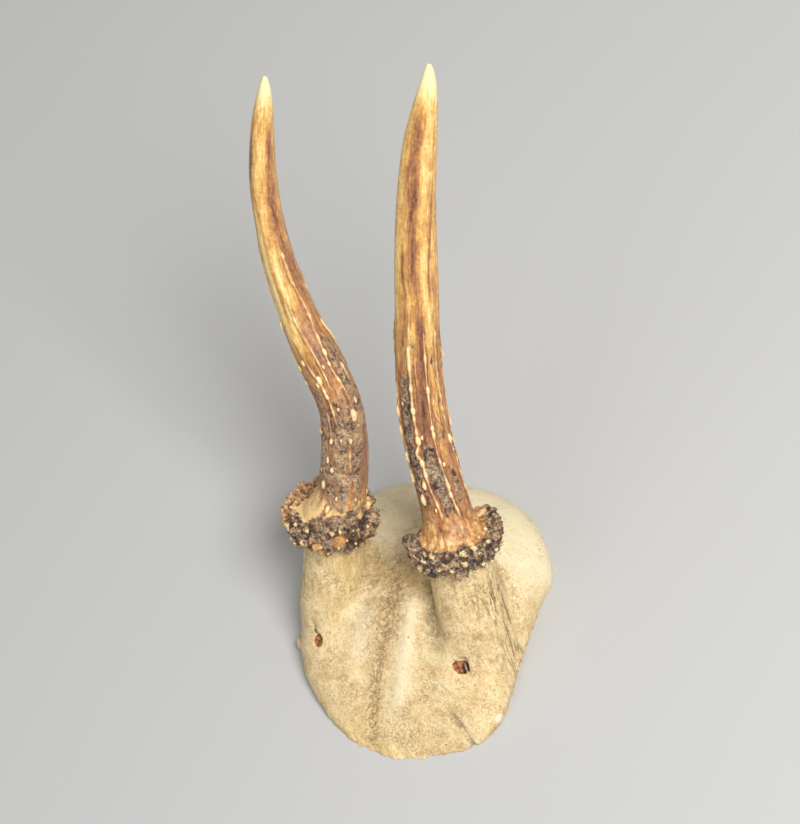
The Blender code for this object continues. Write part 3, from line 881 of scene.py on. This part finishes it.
def build_antler(side, design, node, material):
    """One antler, with random crests and pearls on the side that its design leaves bare."""
    rng = random.Random(SEED + side)
    beam = Beam(side, design["course"], design["depth"])
    bm = bmesh.new()
    beam.add_shaft(bm)
    burr_pearls = add_burr(bm, side, design["fingers"], design["burr_pearls"], rng)
    design = dict(design)
    design["crests"] += tuple(random_crests(rng, *design["bare"]))
    design["pearls"] += tuple(random_pearls(rng, 16, *design["bare"], 0.6))
    design["pearls"] += tuple(random_pearls(rng, 8, 190, 350, 0.4))
    antler = object_from(bm, f"{node}_horn")
    melt(antler, ANTLER_VOXEL, 1)

    points = read(antler.data, "co")
    marks = beam_marks(beam, points, design, burr_pearls)
    low = smoothstep(marks["height"], 60, 20)
    amount = marks["rise"] + 0.12 * low * (lumpy(points, 2.5) - 1)
    amount += marks["crust"] * (0.15 * grains(points, 1.05) - 0.12 + 0.2 * lumpy(points, 1.1))
    amount += marks["on_rim"] * (0.1 * grains(points, 1.5) - 0.05 + 0.26 * lumpy(points, 1.1))
    push(antler, amount)

    bm = bmesh.new()
    axis = pedicle_axis(side)
    length, radius = 20, 9.2
    middle = mirrored(BURR_CENTRE, side) - axis * (SEAM_DROP - GAP / 2 + length / 2)
    place = Matrix.Translation(middle) @ turned_to(axis)
    bmesh.ops.create_cone(
        bm, cap_ends=True, segments=96, radius1=radius, radius2=radius, depth=length, matrix=place
    )
    cut(antler, [object_from(bm, "pedicle_room")])

    mesh = antler.data
    points = read(mesh, "co")
    marks = beam_marks(beam, points, design, burr_pearls)
    tan = np.zeros(len(points))
    for degrees, up, out, size in design["tan_fingers"]:
        away = np.linalg.norm(points - burr_point(side, degrees, up, out - 1), axis=1)
        tan = np.maximum(tan, smoothstep(away, size + 2.2, size + 1.2))
    spots = {"facets": np.zeros(len(points)), "pits": np.zeros(len(points))}
    for kind in spots:
        for degrees, up, size in design[kind]:
            away = np.linalg.norm(points - burr_point(side, degrees, up, 11.4), axis=1)
            away += 0.4 * lumpy(points, 1.5)
            spots[kind] = np.maximum(spots[kind], smoothstep(away, size + 0.4, size - 0.2))
    kept = ("crest", "foot", "pearl", "crust", "on_rim", "flare", "tone", "grain")
    paint(
        mesh,
        **{name: marks[name] for name in kept},
        peak=peaks(mesh, 10),
        tan=tan,
        crust_tint=np.full(len(points), design["crust_tint"]),
        facet=spots["facets"],
        pit=spots["pits"],
    )
    finished(antler, node, material)


class Shader:
    """A material being made: most methods add a node and give its output."""

    def __init__(self, name):
        self.material = bpy.data.materials.new(name)
        self.material.use_nodes = True
        self.tree = self.material.node_tree
        self.surface = self.tree.nodes["Principled BSDF"]
        self.colour = None

    def feed(self, socket, value):
        if isinstance(value, bpy.types.NodeSocket):
            self.tree.links.new(value, socket)
        elif socket.type == "RGBA":
            socket.default_value = (*value, 1)
        else:
            socket.default_value = value

    def node(self, kind, inputs, output=0, **settings):
        made = self.tree.nodes.new("ShaderNode" + kind)
        for name, value in settings.items():
            setattr(made, name, value)
        for name, value in inputs.items():
            self.feed(made.inputs[name], value)
        return made.outputs[output]

    def attribute(self, name, output="Fac"):
        return self.node("Attribute", {}, output, attribute_name=name)

    def place(self):
        """Where a point is on the piece, in millimetres."""
        spot = self.node("TexCoord", {}, "Object")
        return self.node("VectorMath", {0: spot, "Scale": 1 / MM}, operation="SCALE")

    def noise(self, vector, size, detail=4, rough=0.55):
        inputs = {"Vector": vector, "Scale": 1 / size, "Detail": detail, "Roughness": rough}
        return self.node("TexNoise", inputs, "Fac")

    def cells(self, vector, size):
        return self.node("TexVoronoi", {"Vector": vector, "Scale": 1 / size}, "Distance")

    def step(self, value, low, high):
        """0 below low and 1 above high, or the other way round where low is the larger."""
        inputs = {"Value": value, "From Min": low, "From Max": high}
        return self.node("MapRange", inputs, interpolation_type="SMOOTHSTEP")

    def sum(self, a, b, operation="ADD"):
        return self.node("Math", {0: a, 1: b}, operation=operation)

    def times(self, a, b):
        return self.sum(a, b, "MULTIPLY")

    def swing(self, noise, strength):
        """A noise moved to lie about 0, times the strength."""
        return self.times(self.sum(noise, -0.5), strength)

    def mix(self, share, a, b):
        return self.node("Mix", {0: share, 6: a, 7: b}, 2, data_type="RGBA")

    def ramp(self, value, *stops):
        made = self.tree.nodes.new("ShaderNodeValToRGB")
        self.feed(made.inputs[0], value)
        elements = made.color_ramp.elements
        while len(elements) < len(stops):
            elements.new(0.5)
        for element, (position, colour) in zip(elements, stops):
            element.position = position
            element.color = (*colour, 1)
        return made.outputs[0]

    def stain(self, share, strength, colour):
        """Lays a colour over the one that the piece has so far."""
        if strength != 1:
            share = self.times(share, strength)
        self.colour = self.mix(share, self.colour, colour)

    def finish(self, roughness, height, depth):
        """height is a relief from 0 to 1, and depth how deep it is in millimetres."""
        self.feed(self.surface.inputs["Base Color"], self.colour)
        self.feed(self.surface.inputs["Roughness"], roughness)
        inputs = {"Height": height, "Distance": depth * MM, "Strength": 1}
        self.feed(self.surface.inputs["Normal"], self.node("Bump", inputs, "Normal"))
        return self.material


def bone_material():
    s = Shader("aged_bone")
    place = s.place()
    grain = s.attribute("grain", "Vector")
    between = s.node("VectorMath", {0: place, 1: grain}, operation="ADD")
    between = s.node("VectorMath", {0: between, "Scale": 0.5}, operation="SCALE")
    mottle = s.noise(place, 4.5, 7, 0.78)
    s.colour = s.ramp(
        mottle,
        (0.3, (0.58, 0.38, 0.16)),
        (0.44, (0.80, 0.57, 0.265)),
        (0.58, (0.95, 0.75, 0.41)),
    )
    fibre = s.noise(between, 0.8, 6, 0.78)
    s.stain(s.step(fibre, 0.5, 0.37), 0.6, (0.44, 0.27, 0.11))
    s.stain(s.step(fibre, 0.54, 0.66), 0.5, (0.95, 0.80, 0.50))
    streaky = s.sum(s.attribute("streaky"), s.times(s.attribute("shaft"), 0.4))
    lines = s.times(s.step(s.noise(grain, 1.0, 5, 0.7), 0.5, 0.4), streaky)
    s.stain(lines, 0.9, (0.31, 0.175, 0.065))
    grit = s.noise(place, 0.34, 3, 0.75)
    s.stain(s.step(grit, 0.49, 0.37), 0.42, (0.36, 0.22, 0.09))
    s.stain(s.step(grit, 0.53, 0.66), 0.35, (0.98, 0.88, 0.62))
    # Painted highlight along the swelling, and paler bone at the back of the dome that is partly
    # painted light
    pale = s.attribute("pale")
    s.stain(s.times(pale, s.step(mottle, 0.1, 0.5)), 0.75, (0.96, 0.84, 0.56))
    s.stain(s.times(s.attribute("shade"), s.step(mottle, 0.75, 0.3)), 0.4, (0.46, 0.37, 0.19))
    s.stain(s.attribute("yellow"), 0.3, (0.84, 0.60, 0.20))
    # Painted shade and dirt, in blots, over the creases, valleys, grooves and notch
    blot = s.noise(place, 2.0, 6, 0.75)
    s.stain(s.times(s.attribute("dirt"), s.step(blot, 0.3, 0.62)), 0.85, (0.205, 0.165, 0.10))
    curls = s.sum(s.sum(s.noise(place, 1.3, 3, 0.5), -0.5), 0, "ABSOLUTE")
    rough_patch = s.times(s.step(s.noise(place, 7, 3, 0.6), 0.48, 0.6), 0.6)
    rough_patch = s.times(rough_patch, s.step(pale, 0.8, 0.2))
    suture_band = s.attribute("suture_band")
    worm = s.times(s.step(curls, 0.05, 0.012), s.sum(suture_band, rough_patch, "MAXIMUM"))
    s.stain(suture_band, 0.3, (0.50, 0.31, 0.13))
    s.stain(worm, 0.75, (0.28, 0.165, 0.07))
    s.stain(s.attribute("suture"), 0.3, (0.30, 0.18, 0.08))
    pores = s.step(s.noise(place, 0.5, 3, 0.6), 0.62, 0.72)
    s.stain(pores, 0.45, (0.30, 0.18, 0.08))
    s.stain(s.step(s.cells(place, 5), 0.06, 0.035), 0.8, (0.22, 0.12, 0.05))
    # Chipped bone, and the painted highlight along the notch's edge
    s.stain(s.step(s.attribute("chip_and_glint"), 0.3, 0.6), 1, (0.95, 0.87, 0.68))
    flesh = s.step(s.noise(place, 1.0, 4), 0.38, 0.6)
    flesh = s.mix(flesh, (0.10, 0.03, 0.015), (0.50, 0.19, 0.065))
    s.stain(s.step(s.attribute("tissue"), 0.3, 0.6), 1, flesh)
    # Painted shade: near black in the foramen's slits and groove
    s.stain(s.step(s.attribute("shaded_slits"), 0.3, 0.6), 1, (0.025, 0.012, 0.01))
    s.stain(s.step(s.attribute("sliver"), 0.4, 0.7), 1, (0.72, 0.50, 0.36))
    lining = s.mix(s.noise(place, 5, 5), (0.50, 0.36, 0.19), (0.80, 0.64, 0.38))
    s.stain(s.attribute("inner"), 1, lining)
    sponge = s.step(s.cells(place, 0.9), 0.2, 0.55)
    cut_face = s.mix(sponge, (0.35, 0.22, 0.11), (0.80, 0.66, 0.42))
    s.stain(s.step(s.node("SeparateXYZ", {"Vector": place}, "Z"), 0.03, 0.01), 1, cut_face)
    relief = s.sum(s.times(fibre, 0.7), s.times(s.noise(place, 0.8, 5, 0.75), 0.7))
    relief = s.sum(relief, s.times(grit, 0.45))
    relief = s.sum(relief, s.times(s.sum(worm, pores), -0.35))
    relief = s.sum(relief, s.times(lines, -0.4))
    return s.finish(s.sum(s.times(fibre, 0.3), 0.33), relief, 0.32)


def antler_material():
    s = Shader("pearled_antler")
    place = s.place()
    grain = s.attribute("grain", "Vector")
    streaks = s.noise(grain, 0.5, 6, 0.78)
    mottle = s.noise(place, 1.0, 6, 0.78)
    blot = s.noise(place, 3.2, 4, 0.6)
    speckle = s.noise(place, 0.45, 4, 0.75)
    tone = s.attribute("tone")
    on_rim = s.attribute("on_rim")
    crusted = s.attribute("crust")
    crust_tint = s.attribute("crust_tint")
    peak = s.attribute("peak")

    ripple = s.sum(s.swing(streaks, 1.1), s.swing(mottle, 0.6))
    s.colour = s.ramp(
        s.sum(tone, s.times(ripple, s.step(tone, 1.08, 0.84))),
        (0.0, (0.045, 0.022, 0.014)),
        (0.2, (0.15, 0.065, 0.035)),
        (0.4, (0.36, 0.155, 0.07)),
        (0.58, (0.58, 0.29, 0.09)),
        (0.73, (0.80, 0.465, 0.14)),
        (0.87, (0.90, 0.67, 0.26)),
        (1.0, (0.92, 0.83, 0.44)),
    )
    radial = s.sum(s.times(s.noise(grain, 0.8, 5, 0.7), 0.65), s.times(mottle, 0.6))
    flare = s.ramp(
        s.sum(radial, s.times(tone, 0.6)),
        (0.72, (0.13, 0.05, 0.025)),
        (0.84, (0.42, 0.18, 0.065)),
        (0.96, (0.68, 0.36, 0.125)),
        (1.14, (0.93, 0.65, 0.30)),
    )
    s.stain(s.attribute("flare"), 0.9, flare)

    patches = s.sum(s.times(s.step(blot, 0.34, 0.6), 0.13), -0.075)
    off_rim = s.step(on_rim, 0.6, 0.1)
    patches = s.sum(patches, s.times(off_rim, s.sum(crust_tint, 0.025)))
    crust = s.ramp(
        s.sum(s.sum(s.times(speckle, 0.5), s.times(mottle, 0.5)), patches),
        (0.38, (0.015, 0.011, 0.01)),
        (0.45, (0.075, 0.055, 0.042)),
        (0.51, (0.225, 0.16, 0.11)),
        (0.57, (0.44, 0.32, 0.20)),
        (0.66, (0.74, 0.56, 0.33)),
    )
    rust = s.sum(s.noise(place, 1.5, 4, 0.65), s.times(crust_tint, 1.5))
    rusty = s.times(s.times(s.step(rust, 0.47, 0.56), 0.75), s.step(on_rim, 1.8, 0.1))
    crust = s.mix(rusty, crust, s.mix(speckle, (0.16, 0.05, 0.02), (0.80, 0.44, 0.19)))
    s.stain(s.step(s.sum(crusted, s.swing(mottle, 2.2)), 0.3, 0.7), 1, crust)
    # Painted shade: the crust's crevices, where the surface lies below its smoothed surroundings,
    # are darkened to near black
    low = s.times(s.step(crusted, 0.1, 0.5), s.step(peak, -0.02, -0.18))
    s.stain(low, 0.8, (0.035, 0.016, 0.01))

    knob = s.times(s.times(on_rim, s.step(peak, 0.06, 0.2)), s.step(blot, 0.4, 0.56))
    s.stain(knob, 1, s.mix(s.step(mottle, 0.42, 0.6), (0.20, 0.085, 0.04), (0.80, 0.48, 0.21)))
    broken = s.mix(s.step(mottle, 0.4, 0.6), (0.42, 0.19, 0.06), (0.74, 0.40, 0.13))
    s.stain(s.attribute("facet"), 1, broken)
    pit = s.mix(s.step(mottle, 0.45, 0.62), (0.035, 0.016, 0.01), (0.30, 0.15, 0.07))
    s.stain(s.attribute("pit"), 1, pit)
    tips = s.step(s.sum(mottle, s.times(peak, 0.4)), 0.36, 0.66)
    s.stain(s.attribute("tan"), 0.85, s.mix(tips, (0.19, 0.075, 0.035), (0.82, 0.50, 0.24)))

    foot = s.times(s.step(s.attribute("foot"), 0.2, 0.6), s.step(streaks, 0.62, 0.42))
    s.stain(foot, 0.55, (0.17, 0.065, 0.03))
    crest = s.sum(s.attribute("crest"), s.swing(mottle, 0.35))
    raised = s.times(s.attribute("pearl"), s.step(peak, -0.12, 0.0))
    bright = s.sum(crest, s.sum(raised, s.swing(mottle, 0.25)), "MAXIMUM")
    pearl = s.mix(s.step(bright, 0.45, 0.85), (0.62, 0.29, 0.10), (0.95, 0.74, 0.39))
    s.stain(s.step(bright, 0.3, 0.5), 0.95, pearl)

    roughness = s.sum(s.times(s.step(crusted, 0.2, 0.6), 0.15), s.times(speckle, 0.4))
    relief = s.sum(s.times(speckle, s.sum(s.times(crusted, 0.8), 0.15)), s.times(mottle, 0.3))
    relief = s.sum(relief, s.times(streaks, 0.12))
    return s.finish(s.sum(roughness, 0.15), relief, 0.35)


def plain_material(name, colour, roughness):
    s = Shader(name)
    s.feed(s.surface.inputs["Base Color"], colour)
    s.feed(s.surface.inputs["Roughness"], roughness)
    return s.material


def view_axes():
    """The camera's right, up and back directions."""
    sin_a, cos_a = math.sin(CAMERA_AZIMUTH), math.cos(CAMERA_AZIMUTH)
    sin_e, cos_e = math.sin(CAMERA_ELEVATION), math.cos(CAMERA_ELEVATION)
    level = Vector((cos_a, sin_a, 0))
    upright = Vector((-sin_a * sin_e, cos_a * sin_e, cos_e))
    right = level * math.cos(CAMERA_ROLL) + upright * math.sin(CAMERA_ROLL)
    back = Vector((sin_a * cos_e, -cos_a * cos_e, sin_e))
    return right, back.cross(right), back


def build_stage():
    right, up, back = view_axes()
    camera = bpy.data.cameras.new("camera")
    camera.lens = CAMERA_LENS
    camera.sensor_width = 36
    camera.clip_start = 0.05
    holder = bpy.data.objects.new("camera", camera)
    turn = Matrix((right, up, back)).transposed().to_4x4()
    holder.matrix_world = Matrix.Translation(CAMERA_SPOT) @ turn
    bpy.context.scene.collection.objects.link(holder)
    bpy.context.scene.camera = holder

    bm = bmesh.new()
    bmesh.ops.create_grid(bm, x_segments=1, y_segments=1, size=3)
    floor = object_from(bm, "floor")
    floor.data.materials.append(plain_material("pale_floor", (0.5, 0.5, 0.49), 0.8))

    subject = Vector((0, 0.03, 0.04))
    for name, way, distance, size, watts in (
        ("key", back * 0.95 + right * 0.22 + up * 0.16, 0.9, 0.42, 8.8),
        ("fill", back * 0.8 - right * 0.7 + up * 0.1, 1.1, 0.8, 2),
    ):
        light = bpy.data.lights.new(name, "AREA")
        light.shape = "DISK"
        light.size = size
        light.energy = watts
        lamp = bpy.data.objects.new(name, light)
        spot = subject + way.normalized() * distance
        lamp.matrix_world = Matrix.Translation(spot) @ turned_to(spot - subject)
        bpy.context.scene.collection.objects.link(lamp)

    world = bpy.data.worlds.new("studio")
    world.use_nodes = True
    background = world.node_tree.nodes["Background"]
    background.inputs[0].default_value = (1, 0.98, 0.95, 1)
    background.inputs[1].default_value = 0.34
    bpy.context.scene.world = world
    bpy.context.scene.view_settings.view_transform = "Standard"


build_stage()
build_cap(bone_material())
horn = antler_material()
build_antler(1, LEFT, "left_antler", horn)
build_antler(-1, RIGHT, "right_antler", horn)
